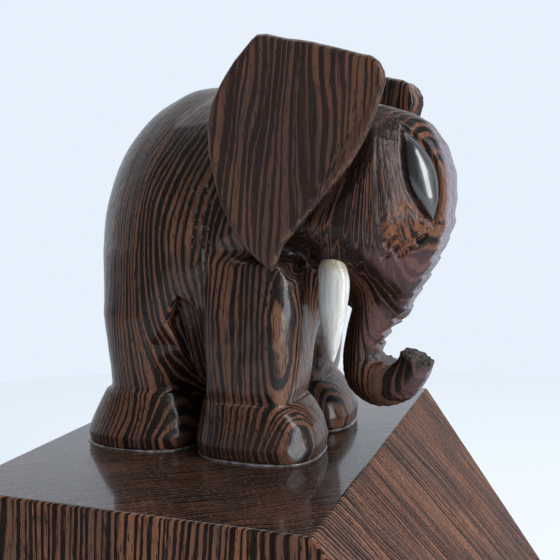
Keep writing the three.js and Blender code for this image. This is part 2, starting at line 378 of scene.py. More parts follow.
def crease(p):
    """A V-shaped cut that opens outwards from the crease's line."""
    q = right_half(p)
    cut = None
    for start, end in zip(CREASE, CREASE[1:]):
        a, b = np.array(start), np.array(end)
        d = (b - a) / np.linalg.norm(b - a)
        out = CREASE_OPENS - d * CREASE_OPENS.dot(d)
        out /= np.linalg.norm(out)
        towards_ear = np.cross(d, out)
        rel = offset(q, a)
        depth = dot(rel, out)
        across = dot(rel, towards_ear)
        along = dot(rel, d)
        ear_side = across * math.cos(CREASE_EAR_SIDE) - depth * math.sin(CREASE_EAR_SIDE)
        face_side = -across * math.cos(CREASE_FACE_SIDE) - depth * math.sin(CREASE_FACE_SIDE)
        ends = np.maximum(-0.6 - along, along - np.linalg.norm(b - a) - 0.6)
        wedge = np.maximum(np.maximum(ear_side, face_side), ends)
        cut = wedge if cut is None else np.minimum(cut, wedge)
    return cut


# The eye: an almond bulge on the side facet, beside the forehead's ridge.
EYE = np.array((-8.2, -31.4, 41.0))
EYE_UP = np.array((-0.195, 0.226, 0.955))
EYE_OUT = np.array((-0.76, -0.65, 0.0))
EYE_HALF_LENGTH = 6.8
EYE_HALF_WIDTH = 2.35
EYE_BULGE = 1.5
EYE_GROOVE = 0.5


def eye(p):
    """How far the eye stands out of the face, less the groove round it."""
    q = right_half(p)
    up = EYE_UP / np.linalg.norm(EYE_UP)
    rel = offset(q, EYE)
    v = dot(rel, up) / EYE_HALF_LENGTH
    u = dot(rel, np.cross(EYE_OUT, up)) / EYE_HALF_WIDTH
    out = dot(rel, EYE_OUT)
    reach = np.clip(1 - v ** 2, 0, 1)
    r = np.abs(u) + v ** 2
    bulge = EYE_BULGE * np.clip(reach ** 2 - u ** 2, 0, 1) ** 0.6
    groove = EYE_GROOVE * np.exp(-((r - 1.12) / 0.17) ** 2)
    near = np.clip(1 - np.abs(out) / 5, 0, 1)
    return (bulge - groove) * near


PIT_WIDE = 0.5
PIT_NARROW = 0.3
KNOT_PITS = [
    ((-9.6, -27.9, 30.6), (-8.4, -30.0, 32.0)),
    ((-8.7, -28.4, 29.6), (-7.6, -30.5, 31.4)),
    ((-7.4, -30.8, 31.8), (-6.9, -31.8, 32.6)),
    ((-10.6, -27.0, 31.4), (-9.9, -28.3, 32.4)),
    ((-10.4, -26.6, 29.4), (-9.8, -27.2, 29.9)),
]


def knots(p):
    """Torn fibres below the eye: short slanting pits."""
    q = right_half(p)
    pits = [capsule(q, a, b, PIT_WIDE, PIT_NARROW) for a, b in KNOT_PITS]
    return np.minimum.reduce(pits)


# The recess between the front and the rear leg, as (y, z), with crisp edges.
LEG_GAP = [
    (3.0, 23.6), (4.9, 19.4), (3.7, 16.0), (2.4, 12.0), (1.7, 8.6), (1.7, 0),
    (-0.9, 0), (-1.0, 8.0), (-1.3, 11.0), (-1.2, 14.8), (-0.7, 18.0), (0.6, 21.4),
]


def leg_gap(p):
    """The dark recess, deep at the feet and running out at its top."""
    x, y, z = right_half(p)
    sides = polygon_distance(y, z, LEG_GAP)
    floor_x = 9.5 + np.clip(z - 6, 0, 30) * 0.24
    return smooth_max(sides, (x + floor_x) * 0.97, 0.5)


def rear_leg_facet(p):
    """The flat cut on the front of the rear leg."""
    x, y, z = right_half(p)
    return -x * 0.9 - y * 0.43 - 10.9 - np.clip(z - 16, 0, 20) * 0.35


def tusk_hollow(p):
    """The shadowed hollow behind and above the tusk's root."""
    return ellipsoid(right_half(p), *TUSK_HOLLOW)


def tusk_collar(p):
    """The low swelling of the cheek round the tusk's root."""
    return ellipsoid(right_half(p), *TUSK_COLLAR)


def foot_slot(p):
    """The upright slot between the two front feet."""
    return ellipsoid(right_half(p), *FOOT_SLOT)


def tail(p):
    """A short tail carved in relief down the middle of the rump."""
    upper, lower = (capsule(p, a, b, ra, rb) for (a, ra), (b, rb) in zip(TAIL, TAIL[1:]))
    return smooth_min(smooth_min(upper, lower, 0.5), ellipsoid(p, *TAIL_TUFT), 1.0)


CHEEK_CUT_DEPTH = 0.028
TORN_DEPTH = 0.30
SAW_MARK_DEPTH = 0.28
# The point that the cheek's cuts fan out from: how far forward and how high.
FAN_FORE = 25.0
FAN_Z = 54.0


def cheek_cuts(p):
    """Knife cuts that fan out from the top of the crease across the cheek."""
    x, y, z = right_half(p)
    turn = np.arctan2(y + FAN_FORE, FAN_Z - z)
    fan = np.sin(turn * 46 + 1.3 * np.sin(turn * 17)) + 0.6 * np.sin(turn * 83 + 1.0)
    inside = (np.clip((-x - 9.0) / 2, 0, 1) * np.clip((50 - z) / 4, 0, 1)
              * np.clip((z - 27) / 4, 0, 1) * np.clip((y + 30.5) / 2, 0, 1) * (-x < 15.6))
    return CHEEK_CUT_DEPTH * fan * inside * (y < -13)


def torn_grain(p):
    """Rough, torn fibres where the shoulder runs in behind the ear."""
    q = right_half(p)
    x, y, z = q
    behind = polygon_distance(-y, z, EAR)
    near = np.exp(-((behind - 1.6) / 1.7) ** 2) * (-x < 16.6) * (z > 24) * (z < 52)
    low = np.exp(-((y + 13.6) ** 2 + (z - 25.4) ** 2) / 5.0)
    fibres = noise((x * 1.7, y * 1.7, z * 1.1), 1.5, 11) * noise(q, 1.9, 12)
    fibres = fibres * np.clip(0.4 + noise(q, 5.0, 13), 0, 1)
    return TORN_DEPTH * fibres * np.clip(near + low * 2, 0, 1.6)


# The trunk's sawn end: a point on it and the way it faces.
TRUNK_END = (0, -29.9, 13.9)
TRUNK_END_OUT = (0, -0.49, 0.87)


def trunk_cut(p):
    """Saw marks and splinters on the trunk's end."""
    above = dot(offset(p, TRUNK_END), TRUNK_END_OUT)
    near = np.clip((above + 0.9) / 0.5, 0, 1) * (p[1] < -26) * (p[2] < 18)
    return SAW_MARK_DEPTH * near * noise((p[0] * 1.7, p[1], p[2]), 1.6, 31)


# Unevenness that the knife and the sandpaper left.
KNIFE_WAVES = 0.10
KNIFE_RIPPLE = 0.035


def elephant_field(p):
    front_leg, rear_leg = legs(p)
    front_foot, rear_foot = feet(p)
    body = smooth_max(smooth_min(torso(p), rear_leg, 2.2), rear_leg_facet(p), 0.4)
    body = smooth_min(body, front_leg, 2.2)
    face = smooth_min(head(p) + cheek_cuts(p), tusk_collar(p), 1.5)
    face = smooth_min(face, trunk(p), 1.6) - eye(p)
    body = smooth_min(body, face, 0.8)
    body = smooth_max(body, -crease(p), 0.35)
    body = smooth_max(body, -tusk_hollow(p), 1.0)
    body = smooth_max(body, -knots(p), 0.3)
    body = smooth_min(body, ear(p), 0.3)
    body = smooth_max(body, -leg_gap(p), 0.35)
    body = smooth_min(body, front_foot, 0.3)
    body = smooth_min(body, rear_foot, 1.2)
    body = smooth_max(body, -foot_slot(p), 0.4)
    body = smooth_min(body, tail(p), 0.6)
    body = body + KNIFE_WAVES * noise(p, 7, 3) + KNIFE_RIPPLE * noise(p, 2.6, 5)
    body = body + torn_grain(p) + trunk_cut(p)
    return np.maximum(body, SOLE - p[2])


# ---- meshing

PINCH_FILL = 0.001
PINCH_ROUNDS = 3


def fill_pinches(values):
    """Fills grid points where a cell face is inside at one diagonal's ends only, because
    such a face gives the mesh an edge with four faces."""
    for u, v in ((0, 1), (1, 2), (2, 0)) * PINCH_ROUNDS:
        def corner(i, j):
            part = [slice(None)] * 3
            part[u] = slice(i, values.shape[u] - 1 + i)
            part[v] = slice(j, values.shape[v] - 1 + j)
            return values[tuple(part)]

        a, b, c, d = corner(0, 0), corner(1, 0), corner(0, 1), corner(1, 1)
        b[(a < 0) & (d < 0) & (b >= 0) & (c >= 0)] = -PINCH_FILL
        a[(b < 0) & (c < 0) & (a >= 0) & (d >= 0)] = -PINCH_FILL


def surface_net(field, low, high, step):
    """Vertices and quads of the field's zero surface on a regular grid."""
    axes = [np.arange(low[i], high[i] + step, step, dtype=np.float32) for i in range(3)]
    grid = np.meshgrid(*axes, indexing="ij")
    values = field(grid).astype(np.float32)
    fill_pinches(values)
    sign = values < 0
    corners = [(i, j, k) for i in (0, 1) for j in (0, 1) for k in (0, 1)]
    n = [len(a) - 1 for a in axes]
    total = np.zeros(n, np.int8)
    for i, j, k in corners:
        total += sign[i:n[0] + i, j:n[1] + j, k:n[2] + k]
    cells = np.argwhere((total > 0) & (total < 8))
    number = np.full(n, -1, np.int32)
    number[tuple(cells.T)] = np.arange(len(cells))
    at = {c: values[cells[:, 0] + c[0], cells[:, 1] + c[1], cells[:, 2] + c[2]] for c in corners}
    where = np.zeros((len(cells), 3), np.float32)
    count = np.zeros(len(cells), np.float32)
    for a in corners:
        for axis in range(3):
            if a[axis]:
                continue
            b = tuple(1 if i == axis else a[i] for i in range(3))
            va, vb = at[a], at[b]
            crossing = (va < 0) != (vb < 0)
            t = np.where(crossing, va / np.where(crossing, va - vb, 1), 0)
            for i in range(3):
                where[:, i] += crossing * (a[i] + (t if i == axis else 0))
            count += crossing
    where /= count[:, None]
    verts = (cells + where) * step + np.array(low, np.float32)
    quads = []
    for axis in range(3):
        u, v = (axis + 1) % 3, (axis + 2) % 3
        lower = np.take(sign, range(n[axis]), axis)
        upper = np.take(sign, range(1, n[axis] + 1), axis)
        edges = np.argwhere(lower != upper)
        edges = edges[(edges[:, u] > 0) & (edges[:, v] > 0) & (edges[:, u] < n[u])
                      & (edges[:, v] < n[v])]
        shift = np.zeros((4, 3), int)
        shift[1, u] = shift[2, u] = shift[2, v] = shift[3, v] = -1
        ids = np.stack([number[tuple((edges + s).T)] for s in shift], 1)
        flip = ~lower[tuple(edges.T)]
        ids[flip] = ids[flip][:, ::-1]
        quads.append(ids)
    return verts, np.vstack(quads)


def settle(field, verts, rounds=2):
    """Moves each vertex along the gradient onto the zero surface."""
    eps = 0.05
    for _ in range(rounds):
        p = [verts[:, i] for i in range(3)]
        value = field(p)
        slope = np.zeros_like(verts)
        for i in range(3):
            q = list(p)
            q[i] = p[i] + eps
            slope[:, i] = (field(q) - value) / eps
        size = np.maximum((slope ** 2).sum(1), 0.25)
        step = np.clip(value / size, -0.3, 0.3)
        verts = verts - slope * step[:, None]
    return verts


def refine(verts, quads):
    """Cuts every quad into four."""
    edges = np.vstack([quads[:, [i, (i + 1) % 4]] for i in range(4)])
    edges, where = np.unique(np.sort(edges, axis=1), axis=0, return_inverse=True)
    middles = verts[edges].mean(axis=1)
    centres = verts[quads].mean(axis=1)
    on_edge = where.reshape(4, -1).T + len(verts)
    centre = np.arange(len(quads)) + len(verts) + len(middles)
    corners = [np.stack([quads[:, i], on_edge[:, i], centre, on_edge[:, i - 1]], 1)
               for i in range(4)]
    return np.vstack([verts, middles, centres]), np.vstack(corners)


def mesh_object(name, verts, faces):
    mesh = bpy.data.meshes.new(name)
    mesh.from_pydata([tuple(v) for v in verts], [], [tuple(int(i) for i in f) for f in faces])
    mesh.update()
    mesh.polygons.foreach_set("use_smooth", [True] * len(mesh.polygons))
    piece = bpy.data.objects.new(name, mesh)
    bpy.context.collection.objects.link(piece)
    return piece


def in_eye(p):
    """Whether a point lies on the eye's bulge, clear of its groove."""
    q = right_half(p)
    up = EYE_UP / np.linalg.norm(EYE_UP)
    rel = np.stack(q, 1) - EYE
    v = rel @ up / EYE_HALF_LENGTH
    u = rel @ np.cross(EYE_OUT, up) / EYE_HALF_WIDTH
    return (np.abs(u) + v ** 2 < 0.92) & (rel @ EYE_OUT > -1.5)


# The crease runs back this far for each millimetre it drops, as far as its tip.
CREASE_SLOPE = 0.595
CREASE_TIP_Y, CREASE_TIP_Z = CREASE[-1][1:]
# Lower down the face is what lies ahead of the legs, and then of the feet.
JAW_LOW_Z = 20
JAW_REAR_Y = -16.0
TRUNK_REAR_Y = -18.5


def on_face(p):
    """Whether a point lies on the head, in front of the crease and the legs."""
    _, y, z = p
    low = np.where(z > JAW_LOW_Z, JAW_REAR_Y, TRUNK_REAR_Y)
    crease_y = CREASE_TIP_Y - (z - CREASE_TIP_Z) * CREASE_SLOPE
    return y < np.where(z > CREASE_TIP_Z, crease_y, low)


# Corners of the grid that holds the whole figure.
GRID_LOW = (-20, -37, SOLE - 1)
GRID_HIGH = (20, 27, 63)


def make_elephant(material, face_material, eye_material):
    low, high = GRID_LOW, GRID_HIGH
    verts, quads = surface_net(elephant_field, low, high, VOXEL)
    verts = settle(elephant_field, verts)
    verts, quads = refine(verts, quads)
    verts = settle(elephant_field, verts)
    verts[:, 2] = np.maximum(verts[:, 2], SOLE)
    piece = mesh_object("carved_elephant", verts * MM + np.array(FIGURE), quads)
    for item in (material, face_material, eye_material):
        piece.data.materials.append(item)
    centres = verts[quads].mean(axis=1).T
    slots = np.where(in_eye(centres), 2, np.where(on_face(centres), 1, 0))
    piece.data.polygons.foreach_set("material_index", slots.astype(np.int32))
    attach(piece, "root")
    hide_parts("elephant")
    return piece


# Tusk, right side, from the plug in the cheek down to the tip:
# z, x, y, half length along y, half thickness along x.
TUSK = [
    (34.0, -11.0, -19.4, 1.00, 1.00),
    (30.3, -11.1, -19.4, 1.00, 1.00),
    (29.7, -11.3, -19.4, 1.20, 1.10),
    (29.2, -11.5, -19.4, 1.52, 1.36),
    (28.5, -11.65, -19.4, 1.85, 1.56),
    (27.4, -11.9, -19.6, 2.15, 1.68),
    (25.4, -12.1, -19.8, 2.25, 1.75),
    (22.0, -12.2, -19.65, 2.02, 1.65),
    (18.4, -12.0, -19.6, 1.38, 1.20),
    (15.9, -11.9, -19.5, 0.78, 0.72),
    (14.5, -11.8, -19.5, 0.28, 0.26),
]
TUSK_SEGMENTS = 40


def ring_faces(levels, count):
    """Faces of a closed skin through a stack of rings, with a lid at each end."""
    faces = []
    for r in range(levels - 1):
        for i in range(count):
            j = (i + 1) % count
            faces.append((r * count + i, r * count + j, (r + 1) * count + j, (r + 1) * count + i))
    faces.append(tuple(range(count))[::-1])
    faces.append(tuple(range((levels - 1) * count, levels * count)))
    return faces


def rings_object(name, rings):
    """A closed skin through a stack of equal rings of points, in figure mm."""
    verts = np.vstack(rings) * MM + np.array(FIGURE)
    return mesh_object(name, verts, ring_faces(len(rings), len(rings[0])))


def make_tusk(side, name, material):
    rings = []
    turns = np.linspace(0, 2 * math.pi, TUSK_SEGMENTS, endpoint=False)
    for z, x, y, half_length, half_thickness in catmull(TUSK, 5):
        rings.append(np.stack([
            side * (x + half_thickness * np.cos(turns)),
            y + half_length * np.sin(turns),
            np.full(TUSK_SEGMENTS, z),
        ], 1))
    if side > 0:
        rings = rings[::-1]
    piece = rings_object(name, rings)
    piece.data.materials.append(material)
    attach(piece, "root")
    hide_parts(name.replace("carved_", ""))


def superellipse(x, y, half_width, half_length, power, turns):
    c, s = np.cos(turns), np.sin(turns)
    return (x + half_width * np.sign(c) * np.abs(c) ** (2 / power),
            y + half_length * np.sign(s) * np.abs(s) ** (2 / power))


GLUE_SEGMENTS = 96
GLUE_SWELL = 0.17
# The bead's section: how far out, as a share of the swell, and how high.
GLUE_SECTION = ((-1.2, 0.0), (1.0, 0.0), (1.0, 0.08), (0.65, 0.20), (0.1, 0.30), (-0.4, 0.30),
                (-1.2, 0.24))


def make_glue(name, node, foot, side, power, seed, material):
    """A thin film under a foot, squeezed out into an uneven bead around it."""
    _, x, y, half_width, half_length = foot[0]
    turns = np.linspace(0, 2 * math.pi, GLUE_SEGMENTS, endpoint=False)
    circle = (np.cos(turns) * 4, np.sin(turns) * 4, np.zeros(GLUE_SEGMENTS))
    swell = GLUE_SWELL + 0.20 * noise(circle, 5.0, seed) + 0.10 * noise(circle, 1.3, seed + 1)
    rings = []
    for reach, height in GLUE_SECTION:
        grow = np.clip(swell, 0.08, 0.45) * reach
        px, py = superellipse(x, y, half_width + grow, half_length + grow, power, turns)
        rings.append(np.stack([side * px, py, np.full(GLUE_SEGMENTS, height)], 1))
    if side < 0:
        rings = rings[::-1]
    piece = rings_object(name, rings)
    piece.data.materials.append(material)
    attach(piece, "root")
    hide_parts(node)


PLINTH_EDGE = 0.4 * MM
PLINTH_TOP_FACE = 3


def make_plinth(material, top_material):
    """The wedge, with its edges eased by a few strokes of sandpaper."""
    half = plinth_high.x
    toe, back = plinth_low.y, plinth_high.y
    top_front = back - PLINTH_TOP_DEPTH
    low, high = plinth_low.z, plinth_high.z
    outline = [(back, low), (back, high), (top_front, high), (toe, low)]
    verts = [(x, y, z) for x in (-half, half) for y, z in outline]
    faces = [(3, 2, 1, 0), (4, 5, 6, 7), (1, 5, 4, 0), (2, 6, 5, 1), (3, 7, 6, 2), (0, 4, 7, 3)]
    piece = mesh_object("worn_plinth", verts, faces)
    piece.data.materials.append(material)
    piece.data.materials.append(top_material)
    piece.data.polygons[PLINTH_TOP_FACE].material_index = 1
    bevel = piece.modifiers.new("eased_edges", "BEVEL")
    bevel.width = PLINTH_EDGE
    bevel.segments = 3
    bevel.limit_method = "NONE"
    bevel.harden_normals = True
    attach(piece, "root")
    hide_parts("plinth")


FELT_CELL = 1.2 * MM
FELT_ROUND = 0.45 * MM
FELT_RAGGED = 0.12 * MM


def make_felt(material):
    """A thin mat with rounded, slightly ragged edges."""
    low, high = np.array(felt_low), np.array(felt_high)
    middle, half = (low + high) / 2, (high - low) / 2
    count = [max(2, int(round(2 * half[i] / FELT_CELL))) for i in (0, 1)]
    turns = np.linspace(-math.pi / 2, math.pi / 2, 7)
    u = np.linspace(-1, 1, count[0] + 1)
    v = np.linspace(-1, 1, count[1] + 1)
    rim = ([(a, -1) for a in u[:-1]] + [(1, b) for b in v[:-1]]
           + [(a, 1) for a in u[::-1][:-1]] + [(-1, b) for b in v[::-1][:-1]])
    rim = np.array(rim, float)
    verts = []
    for turn in turns:
        inset = FELT_ROUND * (1 - math.cos(turn))
        size = half[:2] - inset
        ragged = FELT_RAGGED * noise((rim[:, 0] * 30, rim[:, 1] * 30, rim[:, 0] * 0), 3.0, 21)
        xy = middle[:2] + rim * (size - FELT_RAGGED + ragged[:, None])
        z = middle[2] + half[2] * math.sin(turn)
        verts += [(x, y, z) for x, y in xy]
    piece = mesh_object("baize_mat", verts, ring_faces(len(turns), len(rim)))
    piece.data.materials.append(material)
    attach(piece, "root")
    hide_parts("felt_base")


# ---- materials

class Nodes:
    """Builds one material's node tree."""

    def __init__(self, name):
        self.material = bpy.data.materials.new(name)
        self.material.use_nodes = True
        self.tree = self.material.node_tree
        self.shader = self.tree.nodes["Principled BSDF"]

    def put(self, socket, value):
        if isinstance(value, bpy.types.NodeSocket):
            self.tree.links.new(value, socket)
        else:
            socket.default_value = value

    def set(self, **values):
        for name, value in values.items():
            self.put(self.shader.inputs[name.replace("_", " ")], value)

    def math(self, operation, *values):
        node = self.tree.nodes.new("ShaderNodeMath")
        node.operation = operation
        for socket, value in zip(node.inputs, values):
            self.put(socket, value)
        return node.outputs[0]

    def vector(self, operation, *values):
        node = self.tree.nodes.new("ShaderNodeVectorMath")
        node.operation = operation
        for socket, value in zip(node.inputs, values):
            self.put(socket, value)
        return node.outputs["Value" if operation == "DOT_PRODUCT" else "Vector"]

    def dot(self, vector, direction):
        return self.vector("DOT_PRODUCT", vector, direction)

    def chain(self, operation, values):
        total = values[0]
        for value in values[1:]:
            total = self.math(operation, total, value)
        return total

    def times(self, *values):
        return self.chain("MULTIPLY", values)

    def plus(self, *values):
        return self.chain("ADD", values)

    def minus(self, first, second):
        return self.math("SUBTRACT", first, second)

    def combine(self, x, y, z):
        node = self.tree.nodes.new("ShaderNodeCombineXYZ")
        for socket, value in zip(node.inputs, (x, y, z)):
            self.put(socket, value)
        return node.outputs[0]

    def place(self):
        """Where the surface is, in the figure's millimetres."""
        node = self.tree.nodes.new("ShaderNodeTexCoord")
        moved = self.vector("SUBTRACT", node.outputs["Object"], tuple(FIGURE))
        return self.vector("MULTIPLY", moved, (1 / MM, 1 / MM, 1 / MM))

    def noise(self, vector, scale=1.0, detail=2.0, roughness=0.5, distortion=0.0):
        node = self.tree.nodes.new("ShaderNodeTexNoise")
        self.put(node.inputs["Vector"], vector)
        node.inputs["Scale"].default_value = scale
        node.inputs["Detail"].default_value = detail
        node.inputs["Roughness"].default_value = roughness
        node.inputs["Distortion"].default_value = distortion
        return node.outputs[0]

    def smooth(self, value, low, high, to_low=0.0, to_high=1.0):
        node = self.tree.nodes.new("ShaderNodeMapRange")
        node.interpolation_type = "SMOOTHSTEP"
        for socket, item in zip(node.inputs, (value, low, high, to_low, to_high)):
            self.put(socket, item)
        return node.outputs[0]

    def mix(self, share, first, second):
        node = self.tree.nodes.new("ShaderNodeMix")
        node.data_type = "RGBA"
        self.put(node.inputs["Factor"], share)
        self.put(node.inputs[6], first if not isinstance(first, tuple) else (*first, 1))
        self.put(node.inputs[7], second if not isinstance(second, tuple) else (*second, 1))
        return node.outputs[2]

    def bump(self, height, distance, strength=1.0):
        node = self.tree.nodes.new("ShaderNodeBump")
        self.put(node.inputs["Height"], height)
        node.inputs["Distance"].default_value = distance
        node.inputs["Strength"].default_value = strength
        self.put(self.shader.inputs["Normal"], node.outputs[0])


# Wenge: linear colours of its dark and light layers.
WENGE_BLACK = (0.0090, 0.0056, 0.0046)
WENGE_BROWN = (0.024, 0.0130, 0.0095)
WENGE_ORANGE = (0.225, 0.097, 0.050)
WENGE_TAN = (0.135, 0.069, 0.043)
WENGE_PURPLE = (0.082, 0.034, 0.030)
LAYER_PITCH = 0.74
PLINTH_PITCH = 0.62


def wenge_layers(n, across, wander=1.0, knots=(), pitch=LAYER_PITCH, bend=0.0):
    """Colour, roughness variation and relief of wenge whose layers are stacked
    along the direction `across`. Each knot is a centre, a radius and how far the
    layers are pushed aside in it."""
    point = n.place()
    across = Vector(across).normalized()
    sideways = Vector((-across.y, across.x, 0))
    depth = n.dot(point, tuple(across))
    side = n.dot(point, tuple(sideways))
    height = n.dot(point, (0, 0, 1))

    def stretched(k_depth, k_side, k_height):
        return n.combine(n.times(depth, k_depth), n.times(side, k_side), n.times(height, k_height))

    slow = n.noise(stretched(0.05, 0.07, 0.022), detail=1.0)
    quick = n.noise(stretched(0.5, 0.22, 0.07), detail=1.0)
    shift = n.plus(n.times(n.minus(slow, 0.5), 7.0 * wander),
                   n.times(n.minus(quick, 0.5), 0.9 * wander), bend)
    for centre, radius, push in knots:
        away = n.vector("SUBTRACT", point, centre)
        square = n.math("DIVIDE", n.dot(away, away), -radius * radius)
        shift = n.plus(shift, n.times(n.math("EXPONENT", square), push))
    layer = n.math("DIVIDE", n.plus(depth, shift), pitch)
    uneven = n.noise(n.combine(n.times(layer, 0.62), n.times(side, 0.02),
                               n.times(height, 0.01)), detail=2.0, roughness=0.7)
    wave = n.math("SINE", n.times(n.plus(layer, n.times(uneven, 1.6)),
                                 2 * math.pi))
    band = n.plus(n.times(wave, 0.5), n.times(uneven, 2.2))
    frayed = n.noise(stretched(5.0, 4.0, 0.5), detail=2.0)
    band = n.plus(band, n.times(n.minus(frayed, 0.5), 0.8))
    fine = n.noise(n.combine(n.times(layer, 2.3), n.times(side, 0.10),
                             n.times(height, 0.03)), detail=1.0)
    band = n.plus(band, n.times(n.minus(fine, 0.5), 1.9))
    light = n.smooth(band, 0.90, 1.36)
    pores = n.noise(stretched(5.2, 5.2, 0.55), detail=1.0)
    pore = n.smooth(pores, 0.33, 0.40, 1.0, 0.0)
    patch = n.noise(stretched(0.12, 0.16, 0.05), detail=2.0)
    grain = n.noise(stretched(3.0, 3.0, 0.14), detail=3.0, roughness=0.65)
    bright = n.mix(n.smooth(patch, 0.38, 0.62), WENGE_TAN, WENGE_ORANGE)
    bright = n.mix(n.smooth(grain, 0.35, 0.70, 0.0, 0.55), bright, WENGE_PURPLE)
    dark = n.mix(n.smooth(grain, 0.42, 0.66), WENGE_BLACK, WENGE_BROWN)
    colour = n.mix(light, dark, bright)
    colour = n.mix(n.times(pore, 0.85), colour, WENGE_BLACK)
    rough = n.plus(n.smooth(grain, 0.3, 0.7, 0.0, 0.16), n.times(pore, 0.25))
    relief = n.minus(n.times(grain, 0.5), n.times(pore, 0.9))
    relief = n.minus(relief, n.times(light, 0.25))
    return colour, rough, relief


WENGE_RELIEF = 0.06 * MM


def plinth_wenge(name, shine, coat, coat_roughness, tone, flecks):
    n = Nodes(name)
    colour, rough, relief = wenge_layers(n, PLINTH_ACROSS, 0.5, pitch=PLINTH_PITCH)
    colour = n.vector("MULTIPLY", colour, (tone, tone, tone))
    # Painted glints: pale dashes at the pores, as if they caught the light; only the top's material
    # has them.
    glint_dashes = n.noise(n.vector("MULTIPLY", n.place(), (4.5, 1.5, 4.5)), detail=2.0)
    colour = n.mix(n.smooth(glint_dashes, 0.60, 0.68, 0.0, flecks), colour, DUST_AND_GLINT_GREY)
    n.set(Base_Color=colour, Roughness=n.plus(rough, shine))
    n.set(Coat_Weight=coat, Coat_Roughness=coat_roughness, Specular_IOR_Level=0.04)
    n.bump(relief, WENGE_RELIEF)
    return n.material


# The directions in which the layers are stacked.
FIGURE_ACROSS = (-0.64, -0.77, 0)
PLINTH_ACROSS = (0.8, 0.6, 0)
FIGURE_KNOTS = (
    ((-9.6, -29.2, 34.0), 2.6, 1.5),
    ((-11.4, -27.4, 36.6), 2.2, -1.1),
    ((-8.2, -30.2, 31.6), 1.6, 1.2),
    ((9.5, -29.8, 33.0), 3.0, 1.6),
    ((-13.5, -16.0, 4.5), 3.2, 1.4),
)
# Painted sheen: the backdrop's lavender reflection on faces looking straight ahead, broken by open
# grain.
PAINTED_SHEEN_LAVENDER = (0.30, 0.275, 0.335)
# The trunk's right front chamfer runs along the layers, so is plain; its lighter purple is painted
# sheen.
CHAMFER_OUT = (-0.74, -0.60, -0.30)
PLAIN_PURPLE_AND_SHEEN = (0.105, 0.052, 0.056)
# Patches: centre and radii.
DUSTY_PLACES = (
    ((-15.5, -1.0, 34.0), (4.0, 2.6, 10.0)),
    ((-14.0, -14.0, 25.0), (3.0, 2.6, 2.2)),
    ((-15.5, 3.4, 7.5), (4.0, 2.8, 2.6)),
)
KNOT_PLACE = ((-9.5, -29.0, 34.0), (4.0, 4.0, 5.0))
CHEEK_LINES = 92.0
CHEEK_BEND = 0.42
CHEEK_DARK = (0.022, 0.0105, 0.0110)
EAR_BROWN = (0.082, 0.046, 0.039)
# Pale grey of the dust on the figure, and of the painted glints on the plinth's top.
DUST_AND_GLINT_GREY = (0.33, 0.30, 0.29)
KNOT_ORANGE = (0.30, 0.098, 0.034)
EYE_BLACK = (0.0085, 0.0080, 0.0090)
SAWN_GREY = (0.105, 0.088, 0.078)


def eye_area(n, folded, fore):
    """1 on the eyes and 0 elsewhere."""
    rel = n.vector("SUBTRACT", folded, tuple(EYE))
    up = Vector(EYE_UP).normalized()
    across = Vector(EYE_OUT).cross(up)
    v = n.math("DIVIDE", n.dot(rel, tuple(up)), EYE_HALF_LENGTH)
    u = n.math("DIVIDE", n.dot(rel, tuple(across)), EYE_HALF_WIDTH)
    out = n.dot(rel, tuple(EYE_OUT))
    reach = n.plus(n.math("ABSOLUTE", u), n.times(v, v))
    return n.times(n.smooth(reach, 0.94, 1.08, 1.0, 0.0), n.smooth(out, -2.0, -0.8),
                   n.smooth(fore, 20, 24))


def blob(n, point, centre, radii):
    """1 in the middle of an ellipsoid and 0 outside it."""
    offset = n.vector("DIVIDE", n.vector("SUBTRACT", point, centre), radii)
    return n.smooth(n.dot(offset, offset), 1.0, 0.2)


def dusty_area(n, point):
    """Specks of dust behind the ear, at its tip and between the feet."""
    specks = n.noise(n.vector("MULTIPLY", point, (1.7, 1.7, 1.0)), detail=5.0, roughness=0.75)
    places = 0.0
    for centre, radii in DUSTY_PLACES:
        places = n.plus(places, blob(n, point, centre, radii))
    return n.times(places, n.smooth(specks, 0.54, 0.63))


